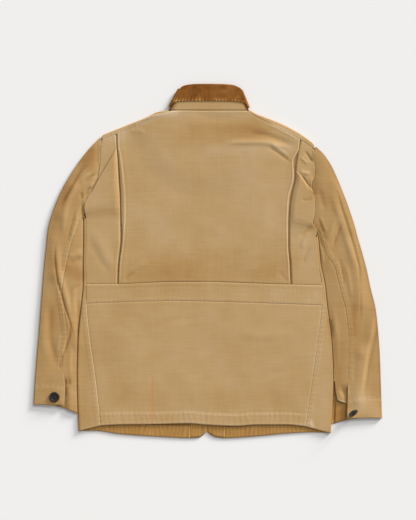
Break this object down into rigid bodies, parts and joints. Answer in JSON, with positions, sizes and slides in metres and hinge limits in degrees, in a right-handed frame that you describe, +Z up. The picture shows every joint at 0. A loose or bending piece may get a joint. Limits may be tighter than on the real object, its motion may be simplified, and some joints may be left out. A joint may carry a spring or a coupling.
{
  "type": "hunting jacket",
  "caption": "Canvas hunting jacket with corduroy fold-over collar, pleated action back, waistband and buttoned cuffs, laid out flat with its back up.",
  "frame": {"origin": "middle of the outline on the ground, under the back", "axes": "+Z up out of the back, +Y from the hem towards the collar, +X towards the wearer's right"},
  "size_m": [0.8008, 0.8136, 0.0256],
  "materials": {
    "canvas": "worn cotton canvas, matt",
    "inside": "unfaded inside of the canvas, matt",
    "corduroy": "cotton corduroy with worn wales",
    "horn": "dark horn, dulled polish"
  },
  "bodies": {
    "root": {"front_left": "canvas", "front_right": "canvas", "front_facing_left": "inside", "front_facing_right": "inside", "front_hem_left": "inside", "front_hem_right": "inside", "back_centre": "canvas", "back_side_left": "canvas", "back_side_right": "canvas", "waistband": "canvas", "back_lower": "canvas", "collar_stand": "canvas", "collar_fall": "corduroy", "sleeve_top_left": "canvas", "sleeve_top_right": "canvas", "sleeve_under_left": "canvas", "sleeve_under_right": "canvas", "cuff_facing_left": "inside", "cuff_facing_right": "inside", "cuff_button_left": "horn", "cuff_button_right": "horn"}
  },
  "joints": []
}
